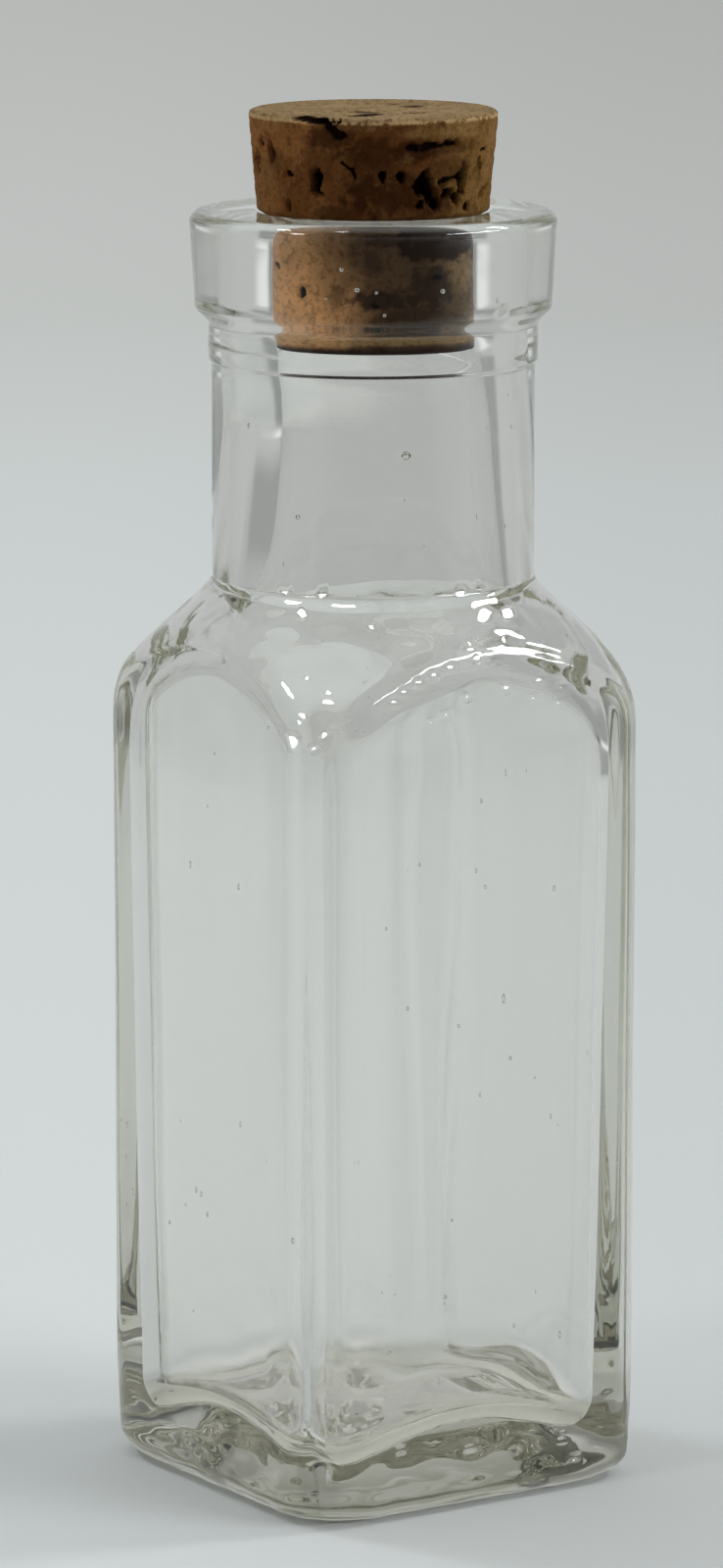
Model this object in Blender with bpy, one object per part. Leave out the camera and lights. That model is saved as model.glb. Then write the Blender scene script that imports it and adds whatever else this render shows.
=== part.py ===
"""A square glass pill bottle with a tapered cork pushed into its mouth.

The glass is one hollow blown piece: a square body with narrow flat corners, a domed
shoulder that meets the four flat sides in arches, a round neck and a thick lip.
The cork is turned, squeezed where the mouth holds it, and slides out along +Z.
The origin is the middle of the flat face that the bottle stands on.
"""
import math

import bmesh
import bpy

# Body of the bottle, in metres like every other length
BODY_WIDTH = 0.01925
CORNER_FACE_WIDTH = 0.0023
CREASE_BLEND = 0.0005
BODY_HEIGHT = 0.0340
HEEL_RADIUS = 0.0013
HEEL_CORNER_RADIUS = 0.0020

# Shoulder: half an ellipse turned about the axis, cut by the flat sides
SHOULDER_RISE = 0.0097
SHOULDER_OVERHANG = 0.0012
SHOULDER_BLEND = 0.0018

# Neck and the two steps of the lip
NECK_WALL = 0.0025
NECK_BLEND = 0.0030
NECK_HEIGHT = 0.0097
RING_STEP = 0.00012
RING_HEIGHT = 0.0016
RING_EASE = 0.0004
LIP_STEP = 0.00066
LIP_FLARE = 0.00022
LIP_HEIGHT = 0.0044
LIP_EASE = 0.0009
LIP_ROUND = 0.0005

# Inside of the glass: thin at the shoulder, thicker towards the base
WALL_AT_SHOULDER = 0.0013
WALL_AT_CROWN = 0.0016
WALL_AT_BASE = 0.0020
INNER_CORNER_BLEND = 0.0022
INNER_NECK_BLEND = 0.0028
NECK_BORE_RADIUS = 0.0051
MOUTH_BORE_STEP = 0.0002
MOUTH_BORE_DEPTH = 0.0076
BORE_EASE = 0.0012
MOUTH_ROUND = 0.0010
BASE_THICKNESS = 0.0046
FLOOR_CROWN = 0.0016
INNER_HEEL_RADIUS = 0.0015

# Cork: it tapers freely above the lip, and the mouth squeezes the rest of it
CORK_GRIP = 0.0005
CORK_HEIGHT_ABOVE_LIP = 0.0047
CORK_DEPTH_IN_MOUTH = 0.0062
CORK_TAPER = 0.094
CORK_FIT_GAP = 0.0003
CORK_SQUEEZE_BLEND = 0.0003
CORK_EDGE = 0.0003
CORK_FOOT_TAPER = 0.0001

# Hollows that the bark pores and chips leave in the cork: each has a direction as a
# share of a turn about the axis, a height as a share of the part above the lip, half
# its width and half its height as shares of the cork's radius, and its depth likewise
CORK_HOLLOW_SHARES = (
    (0.753, 0.36, 0.16, 0.10, 0.075),
    (0.580, 0.97, 0.26, 0.09, 0.060),
    (0.572, 0.38, 0.06, 0.13, 0.070),
    (0.883, 0.94, 0.20, 0.08, 0.050),
    (0.264, 0.55, 0.10, 0.13, 0.070),
    (0.056, 0.30, 0.12, 0.08, 0.060),
)

# How finely the round and blended shapes are divided
SIDE_STEPS = 9
CORNER_STEPS = 3
SHOULDER_STEPS = 17
HEEL_STEPS = 4
EASE_STEPS = 5
ROUND_STEPS = 4
FLOOR_RINGS = 3
CORK_SIDES = 60
CORK_RINGS = 16

# Sizes that follow from the ones above
HALF_WIDTH = BODY_WIDTH / 2
CORNER_CUT = CORNER_FACE_WIDTH / math.sqrt(2)
CORNER_REACH = (BODY_WIDTH - CORNER_CUT) / math.sqrt(2)
CREASE_ANGLE = math.atan2(HALF_WIDTH - CORNER_CUT, HALF_WIDTH)
CREASE_RADIUS = math.hypot(HALF_WIDTH - CORNER_CUT, HALF_WIDTH)
DOME_RADIUS = CREASE_RADIUS + SHOULDER_OVERHANG
INNER_DOME_RADIUS = DOME_RADIUS - WALL_AT_SHOULDER
INNER_SHOULDER_RISE = SHOULDER_RISE - WALL_AT_CROWN
RING_BOTTOM = BODY_HEIGHT + SHOULDER_RISE + NECK_HEIGHT
LIP_BOTTOM = RING_BOTTOM + RING_HEIGHT
GLASS_HEIGHT = LIP_BOTTOM + LIP_EASE + LIP_HEIGHT
NECK_RADIUS = NECK_BORE_RADIUS + NECK_WALL
RING_RADIUS = NECK_RADIUS + RING_STEP
LIP_FOOT_RADIUS = RING_RADIUS + LIP_STEP
LIP_RADIUS = LIP_FOOT_RADIUS + LIP_FLARE
MOUTH_BORE_RADIUS = NECK_BORE_RADIUS - MOUTH_BORE_STEP
MOUTH_RADIUS = MOUTH_BORE_RADIUS + MOUTH_ROUND
CORK_LIP_RADIUS = MOUTH_BORE_RADIUS + CORK_GRIP
CORK_TOP_RADIUS = CORK_LIP_RADIUS + CORK_TAPER * CORK_HEIGHT_ABOVE_LIP
CORK_TOP = GLASS_HEIGHT + CORK_HEIGHT_ABOVE_LIP
CORK_BOTTOM = GLASS_HEIGHT - CORK_DEPTH_IN_MOUTH
QUARTER_TURN = math.pi / 2


def clear_scene():
    for item in list(bpy.data.objects):
        bpy.data.objects.remove(item, do_unlink=True)


def make_material(name, colour, roughness, metallic, transmission):
    material = bpy.data.materials.new(name)
    material.use_nodes = True
    shader = material.node_tree.nodes["Principled BSDF"]
    shader.inputs["Base Color"].default_value = (*colour, 1)
    shader.inputs["Roughness"].default_value = roughness
    shader.inputs["Metallic"].default_value = metallic
    shader.inputs["Transmission Weight"].default_value = transmission
    return material


def blend(first, second, width):
    """The smaller of two radii, eased where they are within a width of each other."""
    nearness = max(width - abs(first - second), 0) / width
    return min(first, second) - nearness * nearness * width / 4


def blend_larger(first, second, width):
    return -blend(-first, -second, width)


def ease(share):
    """A slope that starts and ends level."""
    return share * share * (3 - 2 * share)


def shares(count):
    return [step / count for step in range(1, count + 1)]


def ring_angles():
    """Directions of one ring, with points on both creases of every corner."""
    angles = []
    for quarter in range(4):
        middle = quarter * QUARTER_TURN
        for step in range(SIDE_STEPS):
            angles.append(middle - CREASE_ANGLE + 2 * CREASE_ANGLE * step / SIDE_STEPS)
        corner_span = QUARTER_TURN - 2 * CREASE_ANGLE
        for step in range(CORNER_STEPS):
            angles.append(middle + CREASE_ANGLE + corner_span * step / CORNER_STEPS)
    return angles


ANGLES = ring_angles()


def square_radius(angle, side, corner, crease):
    """Distance from the axis to a square with cut corners, in one direction."""
    from_side = (angle + QUARTER_TURN / 2) % QUARTER_TURN - QUARTER_TURN / 2
    from_corner = QUARTER_TURN / 2 - abs(from_side)
    return blend(side / math.cos(from_side), corner / math.cos(from_corner), crease)


def square_ring(side, corner, crease, z):
    radii = [square_radius(angle, side, corner, crease) for angle in ANGLES]
    return [(radius, z) for radius in radii]


def round_ring(radius, z):
    return [(radius, z) for _ in ANGLES]


def outer_heel_rings():
    rings = []
    for step in range(HEEL_STEPS, -1, -1):
        turn = QUARTER_TURN * step / HEEL_STEPS
        side = HALF_WIDTH - HEEL_RADIUS * (1 - math.cos(turn))
        corner = CORNER_REACH - HEEL_CORNER_RADIUS * (1 - math.cos(turn))
        height = HEEL_RADIUS * (1 - math.sin(turn))
        rings.append(square_ring(side, corner, CREASE_BLEND, height))
    return rings


def shoulder_rings(side, corner, crease, dome_radius, rise, neck_radius, neck_blend):
    """Rings from the foot of the shoulder up to the neck."""
    rings = []
    last_turn = math.acos(max(neck_radius - neck_blend, 0) / dome_radius)
    for step in range(SHOULDER_STEPS + 1):
        turn = last_turn * step / SHOULDER_STEPS
        dome = dome_radius * math.cos(turn)
        height = BODY_HEIGHT + rise * math.sin(turn)
        ring = []
        for angle in ANGLES:
            body = square_radius(angle, side, corner, crease)
            shoulder = blend_larger(dome, neck_radius, neck_blend)
            ring.append((blend(body, shoulder, SHOULDER_BLEND), height))
        rings.append(ring)
    return rings


def outer_shoulder_rings():
    return shoulder_rings(
        HALF_WIDTH, CORNER_REACH, CREASE_BLEND,
        DOME_RADIUS, SHOULDER_RISE, NECK_RADIUS, NECK_BLEND,
    )


def lip_profile():
    """Outline of the ring and the lip, up over the land and into the mouth."""
    points = [(NECK_RADIUS, RING_BOTTOM - RING_EASE)]
    for share in shares(EASE_STEPS):
        points.append((NECK_RADIUS + RING_STEP * ease(share), RING_BOTTOM - RING_EASE * (1 - share)))
    points.append((RING_RADIUS, LIP_BOTTOM))
    for share in shares(EASE_STEPS):
        points.append((RING_RADIUS + LIP_STEP * ease(share), LIP_BOTTOM + LIP_EASE * share))
    for share in [0, *shares(ROUND_STEPS)]:
        turn = QUARTER_TURN * share
        radius = LIP_RADIUS - LIP_ROUND * (1 - math.cos(turn))
        points.append((radius, GLASS_HEIGHT - LIP_ROUND * (1 - math.sin(turn))))
    for share in [0, *shares(ROUND_STEPS)]:
        turn = QUARTER_TURN * share
        radius = MOUTH_RADIUS - MOUTH_ROUND * math.sin(turn)
        points.append((radius, GLASS_HEIGHT - MOUTH_ROUND * (1 - math.cos(turn))))
    bore_end = GLASS_HEIGHT - MOUTH_BORE_DEPTH
    points.append((MOUTH_BORE_RADIUS, bore_end))
    for share in shares(EASE_STEPS):
        radius = MOUTH_BORE_RADIUS + MOUTH_BORE_STEP * ease(share)
        points.append((radius, bore_end - BORE_EASE * share))
    return points


def inner_side(wall):
    return HALF_WIDTH - wall


def inner_corner(wall):
    return CORNER_REACH - wall


def inner_shoulder_rings():
    wall = WALL_AT_SHOULDER
    rings = shoulder_rings(
        inner_side(wall), inner_corner(wall), INNER_CORNER_BLEND,
        INNER_DOME_RADIUS, INNER_SHOULDER_RISE, NECK_BORE_RADIUS, INNER_NECK_BLEND,
    )
    return rings[::-1]


def floor_height(radius):
    """The floor is domed, so it is lowest in the corners."""
    return BASE_THICKNESS - FLOOR_CROWN * (radius / inner_corner(WALL_AT_BASE)) ** 2


def inner_floor_rings():
    rings = []
    wall = WALL_AT_BASE
    for step in range(HEEL_STEPS + 1):
        turn = QUARTER_TURN * step / HEEL_STEPS
        inset = wall + INNER_HEEL_RADIUS * (1 - math.cos(turn))
        ring = []
        for angle in ANGLES:
            radius = square_radius(angle, inner_side(inset), inner_corner(inset), INNER_CORNER_BLEND)
            lift = INNER_HEEL_RADIUS * (1 - math.sin(turn))
            ring.append((radius, floor_height(radius) + lift))
        rings.append(ring)
    edge = rings[-1]
    for step in range(1, FLOOR_RINGS):
        share = 1 - step / FLOOR_RINGS
        rings.append([(radius * share, floor_height(radius * share)) for radius, _ in edge])
    return rings


def add_ring(bm, ring, angles):
    points = zip(ring, angles)
    return [bm.verts.new((r * math.cos(a), r * math.sin(a), z)) for (r, z), a in points]


def join_rings(bm, lower, upper):
    count = len(lower)
    for index in range(count):
        after = (index + 1) % count
        bm.faces.new((lower[index], lower[after], upper[after], upper[index]))


def finish_object(name, bm, material, sharp_angle):
    bmesh.ops.recalc_face_normals(bm, faces=bm.faces)
    mesh = bpy.data.meshes.new(name)
    bm.to_mesh(mesh)
    bm.free()
    mesh.materials.append(material)
    mesh.shade_smooth()
    mesh.set_sharp_from_angle(angle=math.radians(sharp_angle))
    item = bpy.data.objects.new(name, mesh)
    bpy.context.scene.collection.objects.link(item)
    return item


def make_glass_bottle(material):
    """The hollow glass, skinned ring by ring from the base up and back down inside."""
    rings = outer_heel_rings()
    rings += outer_shoulder_rings()
    rings += [round_ring(radius, z) for radius, z in lip_profile()]
    rings += inner_shoulder_rings()
    rings += inner_floor_rings()
    bm = bmesh.new()
    loops = [add_ring(bm, ring, ANGLES) for ring in rings]
    bm.faces.new(loops[0])
    for lower, upper in zip(loops, loops[1:]):
        join_rings(bm, lower, upper)
    centre = bm.verts.new((0, 0, floor_height(0)))
    last = loops[-1]
    for index, vert in enumerate(last):
        bm.faces.new((vert, last[(index + 1) % len(last)], centre))
    return finish_object("glass_bottle", bm, material, 35)


def cork_radius(z):
    """The free taper, kept a fit gap clear of the mouth where the glass squeezes it."""
    free = CORK_LIP_RADIUS + CORK_TAPER * (z - GLASS_HEIGHT)
    reach = MOUTH_ROUND + CORK_FIT_GAP
    above_bore = max(z - (GLASS_HEIGHT - MOUTH_ROUND), 0)
    if above_bore >= reach:
        return free
    limit = MOUTH_RADIUS - math.sqrt(reach * reach - above_bore * above_bore)
    foot = CORK_FOOT_TAPER * max(GLASS_HEIGHT - z, 0) / CORK_DEPTH_IN_MOUTH
    return blend(free, limit, CORK_SQUEEZE_BLEND) - foot


def cork_hollow(angle, z):
    """How deep the pores and chips cut in at one place, as a share of the radius."""
    depth = 0
    for turn_share, height_share, width_share, tall_share, depth_share in CORK_HOLLOW_SHARES:
        across = (angle - 2 * math.pi * turn_share + math.pi) % (2 * math.pi) - math.pi
        along = z - GLASS_HEIGHT - height_share * CORK_HEIGHT_ABOVE_LIP
        away = (across / width_share) ** 2 + (along / (tall_share * CORK_TOP_RADIUS)) ** 2
        depth += depth_share * math.exp(-away)
    return depth


def cork_levels():
    """Heights of the cork's rings, closer together where the mouth squeezes it."""
    squeeze_bottom = GLASS_HEIGHT - MOUTH_ROUND
    squeeze_top = GLASS_HEIGHT + CORK_FIT_GAP
    levels = [CORK_BOTTOM + CORK_EDGE, squeeze_bottom]
    for share in shares(EASE_STEPS + 1):
        levels.append(squeeze_bottom + (squeeze_top - squeeze_bottom) * share)
    for share in shares(CORK_RINGS):
        levels.append(squeeze_top + (CORK_TOP - CORK_EDGE - squeeze_top) * share)
    return levels


def make_cork_stopper(material):
    angles = [2 * math.pi * side / CORK_SIDES for side in range(CORK_SIDES)]
    outline = [(cork_radius(CORK_BOTTOM) - CORK_EDGE, CORK_BOTTOM)]
    outline += [(cork_radius(z), z) for z in cork_levels()]
    outline.append((cork_radius(CORK_TOP) - CORK_EDGE, CORK_TOP))
    bm = bmesh.new()
    loops = []
    for radius, z in outline:
        hollow = [cork_hollow(angle, z) if z > GLASS_HEIGHT else 0 for angle in angles]
        loops.append(add_ring(bm, [(radius * (1 - depth), z) for depth in hollow], angles))
    for lower, upper in zip(loops, loops[1:]):
        join_rings(bm, lower, upper)
    bm.faces.new(loops[0])
    bm.faces.new(loops[-1])
    return finish_object("cork_stopper", bm, material, 40)


def main():
    clear_scene()
    clear_glass = make_material("clear_glass", (0.90, 0.93, 0.89), 0.03, 0, 1)
    natural_cork = make_material("natural_cork", (0.36, 0.17, 0.07), 0.85, 0, 0)
    make_glass_bottle(clear_glass)
    make_cork_stopper(natural_cork)


main()
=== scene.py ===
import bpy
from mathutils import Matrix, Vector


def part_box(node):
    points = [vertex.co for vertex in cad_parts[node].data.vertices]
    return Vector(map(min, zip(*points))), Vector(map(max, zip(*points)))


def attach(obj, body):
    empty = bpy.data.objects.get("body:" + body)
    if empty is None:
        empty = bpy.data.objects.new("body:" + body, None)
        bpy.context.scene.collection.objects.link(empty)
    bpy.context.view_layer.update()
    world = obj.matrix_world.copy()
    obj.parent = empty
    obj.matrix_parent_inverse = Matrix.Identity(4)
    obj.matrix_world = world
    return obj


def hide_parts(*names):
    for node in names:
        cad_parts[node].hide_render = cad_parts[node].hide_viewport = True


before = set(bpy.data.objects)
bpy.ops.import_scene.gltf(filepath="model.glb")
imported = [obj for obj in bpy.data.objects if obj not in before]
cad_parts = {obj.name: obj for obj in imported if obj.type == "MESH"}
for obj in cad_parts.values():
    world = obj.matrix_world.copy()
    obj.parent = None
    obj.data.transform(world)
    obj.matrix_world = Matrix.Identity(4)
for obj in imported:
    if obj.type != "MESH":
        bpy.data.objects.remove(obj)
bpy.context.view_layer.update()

import math
import random

import bmesh
import bpy
import numpy as np
from mathutils import Matrix, Vector, noise

mm = 0.001
fullTurn = 2 * math.pi
quarterTurn = math.pi / 2


# Helpers

def newMesh(name, verts, faces):
    mesh = bpy.data.meshes.new(name)
    mesh.from_pydata(verts, [], faces)
    mesh.update()
    mesh.shade_smooth()
    return mesh


def newObject(name, data):
    item = bpy.data.objects.new(name, data)
    bpy.context.scene.collection.objects.link(item)
    return item


def bandFaces(rows, count):  # a face for each step around between two rings
    faces = []
    for row in range(rows - 1):
        for column in range(count):
            after = (column + 1) % count
            faces.append((row * count + column, row * count + after,
                          (row + 1) * count + after, (row + 1) * count + column))
    return faces


def fanFaces(first, count, centre):  # from a ring to its middle
    return [(first + column, first + (column + 1) % count, centre) for column in range(count)]


def easedMin(first, second, width):
    nearness = np.maximum(width - np.abs(first - second), 0) / width
    return np.minimum(first, second) - nearness ** 2 * width / 4


def easedMax(first, second, width):
    return -easedMin(-first, -second, width)


def slope(share):
    return share * share * (3 - 2 * share)


def ramped(value, low, high):
    return slope(min(max((value - low) / (high - low), 0), 1))


def steps(count, start=0):
    return [step / count for step in range(start, count + 1)]


# A socket that can be used in sums, and one method for any other node

class Wire:
    def __init__(self, tree, socket=None):
        self.tree = tree
        self.socket = socket

    def feed(self, target, value):
        if isinstance(value, Wire):
            self.tree.links.new(value.socket, target)
        elif value is not None:
            target.default_value = value

    def node(self, kind, settings=None, sockets=None, out=0):
        item = self.tree.nodes.new("ShaderNode" + kind)
        for name, value in (settings or {}).items():
            if name == "stops":
                ramp = item.color_ramp.elements
                while len(ramp) < len(value):
                    ramp.new(0.5)
                for stop, (place, colour) in zip(ramp, value):
                    stop.position = place
                    stop.color = (*colour, 1)
            else:
                setattr(item, name, value)
        for key, value in (sockets or {}).items():
            self.feed(item.inputs[key], value)
        return Wire(self.tree, item.outputs[out] if item.outputs else None)

    def parts(self, vector):
        return [self.node("SeparateXYZ", {}, {0: vector}, out=axis) for axis in range(3)]

    def maths(self, operation, first, second):
        return self.node("Math", {"operation": operation}, {0: first, 1: second})

    def __add__(self, other):
        return self.maths("ADD", self, other)

    def __radd__(self, other):
        return self.maths("ADD", other, self)

    def __sub__(self, other):
        return self.maths("SUBTRACT", self, other)

    def __rsub__(self, other):
        return self.maths("SUBTRACT", other, self)

    def __mul__(self, other):
        return self.maths("MULTIPLY", self, other)

    def __rmul__(self, other):
        return self.maths("MULTIPLY", other, self)

    def __truediv__(self, other):
        return self.maths("DIVIDE", self, other)

    def __rtruediv__(self, other):
        return self.maths("DIVIDE", other, self)

    def larger(self, other):
        return self.maths("MAXIMUM", self, other)

    def eased(self, low, high, start=0.0, end=1.0):
        return self.node("MapRange", {"interpolation_type": "SMOOTHSTEP"},
                         {0: self, 1: low, 2: high, 3: start, 4: end})

    def tint(self, plain, full):  # this mask mixes two colours
        return self.node("Mix", {"data_type": "RGBA"}, {0: self, 6: plain, 7: full}, out=2)


def newFinish(name):
    finish = bpy.data.materials.new(name)
    finish.use_nodes = True
    finish.node_tree.nodes.clear()
    return finish, Wire(finish.node_tree)


def closeFinish(bench, surface, volume=None):
    bench.node("OutputMaterial", {}, {"Surface": surface, "Volume": volume})


# Camera, at the viewing angle of the photograph

shot = {
    "azimuth": 33.478,       # degrees from -Y towards -X
    "distance": 334.3 * mm,  # from the axis of the bottle
    "height": 92.5 * mm,
    "pitch": 10.081,         # degrees
    "yaw": -0.094,
    "lens": 164.69,
    "sensor": 36,            # for the tall side
    "clipStart": 10 * mm,
    "wide": 738,             # the photograph in pixels
    "tall": 1600,
}
awayX = math.sin(math.radians(shot["azimuth"]))  # the line of sight on the ground
awayY = math.cos(math.radians(shot["azimuth"]))
pixelSpan = shot["lens"] / shot["sensor"] * shot["tall"]


def alongSight(x, y):
    return x * awayX + y * awayY


def rightOfSight(x, y):
    return x * awayY - y * awayX


def makeCamera():
    tip, swing = math.radians(shot["pitch"]), math.radians(shot["yaw"])
    back = Vector((-awayX, -awayY, 0))
    across = Vector((awayY, -awayX, 0))
    level = -back * math.cos(swing) + across * math.sin(swing)
    right = across * math.cos(swing) + back * math.sin(swing)
    ahead = level * math.cos(tip) - Vector((0, 0, math.sin(tip)))
    up = right.cross(ahead)
    data = bpy.data.cameras.new("camera")
    data.sensor_width = shot["sensor"]
    data.lens = shot["lens"]
    data.clip_start = shot["clipStart"]
    camera = newObject("camera", data)
    place = back * shot["distance"] + Vector((0, 0, shot["height"]))
    camera.matrix_world = Matrix.Translation(place) @ Matrix((right, up, -ahead)).transposed().to_4x4()
    bpy.context.scene.camera = camera
    return place, right, up, ahead


eye, eyeRight, eyeUp, eyeAhead = makeCamera()
eyeTurn = math.atan2(eye.y, eye.x)


def atPixel(x, y, radius):
    # where the ray of this pixel meets an upright cylinder: its turn and its height
    right, down = (x - shot["wide"] / 2) / pixelSpan, (y - shot["tall"] / 2) / pixelSpan
    ray = (eyeAhead + eyeRight * right - eyeUp * down).normalized()
    across = ray.x ** 2 + ray.y ** 2
    towards = eye.x * ray.x + eye.y * ray.y
    reach = (-towards - math.sqrt(towards ** 2 - across * (eye.x ** 2 + eye.y ** 2 - radius ** 2))) / across
    point = eye + ray * reach
    return math.atan2(point.y, point.x), point.z


print("camera placed")


# Lamps: place and size in metres, watts, colour, whether they glint and light what is dull,
# and the direction in which a long side runs
lamps = [
    {"name": "keyRight", "place": (0.70, -0.21, 0.75), "size": (0.18, 0.18), "power": 2.16,
     "colour": (1, 0.98, 0.95), "glints": True},
    {"name": "keyLeft", "place": (-0.30, 0.72, 0.80), "size": (0.20, 0.20), "power": 2.26,
     "colour": (0.97, 0.99, 1), "glints": False},
    {"name": "fillLeft", "place": (-0.81, -0.09, 0.41), "size": (0.16, 0.16), "power": 1.2,
     "colour": (1, 0.96, 0.90), "glints": True},
    {"name": "strip", "place": (0.446, -0.66, 0.36), "size": (0.60, 0.12), "power": 3.4,
     "colour": (1, 1, 1), "glints": True, "along": (0.83, 0.55, 0)},
    {"name": "sparkLeft", "place": (-0.56, 0.20, 0.74), "size": (0.11, 0.11), "power": 1.1,
     "diffuse": False, "colour": (1, 0.97, 0.92), "glints": True},
    {"name": "sparkFront", "place": (-0.40, -0.20, 0.85), "size": (0.10, 0.10), "power": 0.9,
     "diffuse": False, "colour": (1, 1, 1), "glints": True},
    {"name": "sparkRight", "place": (0.78, -0.34, 0.56), "size": (0.11, 0.11), "power": 1.1,
     "diffuse": False, "colour": (1, 1, 1), "glints": True},
    {"name": "sparkBack", "place": (0.25, 0.55, 0.75), "size": (0.11, 0.11), "power": 0.9,
     "diffuse": False, "colour": (1, 1, 1), "glints": True},
]


# Glass, in metres; the outer sizes follow the frame

glassLow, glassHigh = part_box("glass_bottle")
glass = {
    "cornerFace": 2.30 * mm,
    "crease": 0.50 * mm,
    "footCrease": 1.00 * mm,   # added to the crease at the foot,
    "creaseReach": 6.0 * mm,   # and fading out at this height
    "heelCrease": 0.90 * mm,
    "bodyHeight": 34.0 * mm,
    "heel": 1.30 * mm,
    "heelCorner": 2.00 * mm,
    "shoulderRise": 9.60 * mm,
    "shoulderOverhang": 1.20 * mm,
    "shoulderBlend": 0.90 * mm,
    "innerShoulderBlend": 0.80 * mm,
    "neckRadius": 7.60 * mm,
    "neckBlend": 4.00 * mm,
    "ringBottom": 53.4 * mm,
    "ringStep": 0.14 * mm,
    "ringHeight": 1.60 * mm,
    "ringEase": 0.20 * mm,
    "lipStep": 0.64 * mm,
    "lipFlare": 0.22 * mm,
    "lipEase": 0.90 * mm,
    "lipRound": 0.50 * mm,
    "wallAtShoulder": 1.30 * mm,
    "wallAtDome": 2.30 * mm,
    "wallAtCrown": 1.80 * mm,
    "wallAtBase": 2.00 * mm,
    "innerCorner": 2.20 * mm,
    "innerNeckBlend": 5.00 * mm,
    "neckFootBore": 6.00 * mm,
    "boreOffset": 0.25 * mm,   # to the right in the picture, between these heights
    "offsetStart": 40 * mm,
    "offsetFull": 46 * mm,
    "offsetFade": 50 * mm,
    "offsetEnd": 55 * mm,
    "mouthBore": 4.74 * mm,
    "mouthDepth": 7.60 * mm,
    "mouthRound": 0.90 * mm,
    "pushUp": 0.15 * mm,
    "ridges": 0.004 * mm,
    "ridgeTurns": 44,
    "floorAtMiddle": 3.66 * mm,
    "floorAtSide": 3.60 * mm,
    "floorAtCorner": 2.40 * mm,
    "innerHeel": 1.70 * mm,
    "sideSteps": 106,
    "cornerSteps": 30,
    "crowding": 0.55,          # how far the steps crowd towards the creases, and the rows towards the foot
    "rowCrowding": 0.65,
    "ior": 1.52,
    "shoulderTint": (0.900, 0.895, 0.882),
    "baseTint": (0.500, 0.500, 0.435),
    "neckTint": (0.935, 0.932, 0.926),
    "bodyTint": (0.918, 0.911, 0.902),
    "absorbed": (0.50, 0.49, 0.31),
    "density": 19,
}

# How many rings each stretch has
ringCounts = {
    "base": 48, "heel": 10, "wall": 100, "shoulder": 150, "neck": 16, "ringFoot": 8, "ring": 4,
    "lipFoot": 12, "lip": 14, "lipRound": 10, "land": 8, "mouthRound": 14, "mouth": 14, "bore": 44,
    "innerShoulder": 80, "innerWall": 50, "innerHeel": 12, "floor": 16,
}

# Unevenness, in mm: between which heights, the size of the waves across and up, and how deep they are
waves = [
    {"on": "outside", "low": 3, "high": 36, "across": 7.0, "up": 12.0, "depth": 0.030, "seed": 3},
    {"on": "outside", "low": 33, "high": 44, "across": 1.7, "up": 1.4, "depth": 0.034, "seed": 5,
     "domeOnly": True},
    {"on": "outside", "low": 33, "high": 48, "across": 0.9, "up": 0.8, "depth": 0.016, "seed": 6,
     "domeOnly": True},
    {"on": "outside", "low": 36, "high": 54, "across": 3.5, "up": 9.0, "depth": 0.035, "seed": 7},
    {"on": "outside", "low": 52, "high": 61, "across": 2.4, "up": 3.0, "depth": 0.012, "seed": 11},
    {"on": "outside", "low": -1, "high": 4, "across": 1.6, "up": 0.9, "depth": 0.060, "seed": 13,
     "nearOnly": True},
    {"on": "outside", "low": -1, "high": 1.2, "across": 0.9, "up": 1.0, "depth": 0.045, "seed": 37,
     "nearOnly": True},
    {"on": "inside", "low": 5, "high": 38, "across": 4.0, "up": 15.0, "depth": 0.110, "seed": 17},
    {"on": "inside", "low": 33, "high": 44, "across": 1.5, "up": 1.5, "depth": 0.036, "seed": 19,
     "domeOnly": True},
    {"on": "inside", "low": 33, "high": 43, "across": 0.9, "up": 0.9, "depth": 0.008, "seed": 21,
     "domeOnly": True},
    {"on": "inside", "low": 40, "high": 56, "across": 1.6, "up": 40.0, "depth": 0.070, "seed": 23},
    {"on": "inside", "low": 0, "high": 6, "across": 2.6, "up": 2.2, "depth": 0.006, "seed": 29},
    {"on": "inside", "low": 3.4, "high": 5.0, "across": 0.6, "up": 0.45, "depth": 0.005, "seed": 43,
     "ramp": 0.4},
    {"on": "inside", "low": 53, "high": 60, "across": 2.2, "up": 4.0, "depth": 0.014, "seed": 31},
]
waveRules = {
    "seedStep": (7.3, 3.1, 0),    # keeps the waves of two seeds apart
    "ramp": 2,                    # mm over which they fade in
    "dome": (0.10, 0.35),         # tilts of the surface where dome waves start and are full
    "near": (2.5, -2.5),          # mm beyond the axis where near waves start and are full
    "inwards": 0.6,               # outer waves mostly cut in
}

# Small facets left by the mould that glint: x, y and size in the pixels of the photograph
glints = [
    (315, 573, 10), (291, 601, 13), (329, 605, 12), (308, 626, 12), (313, 692, 8), (335, 707, 9),
    (309, 730, 10), (297, 757, 18), (331, 750, 11), (320, 764, 9), (379, 640, 9), (470, 604, 12),
    (491, 597, 12), (494, 628, 17), (518, 626, 14), (514, 653, 10), (479, 657, 10), (487, 672, 10),
    (402, 717, 12), (413, 707, 12), (428, 697, 12), (443, 689, 11), (460, 681, 11), (476, 712, 10),
    (455, 730, 11), (440, 738, 10), (517, 702, 11), (550, 694, 11), (572, 702, 10), (544, 713, 10),
    (570, 718, 10), (190, 1470, 13), (201, 1486, 12), (480, 1481, 11), (410, 1483, 10), (574, 1468, 13),
    (586, 1490, 11), (312, 1459, 9), (620, 1420, 11), (512, 316, 12),
]
glintRules = {"soft": 3, "leastWeight": 0.5, "mostLean": math.radians(45)}


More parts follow.
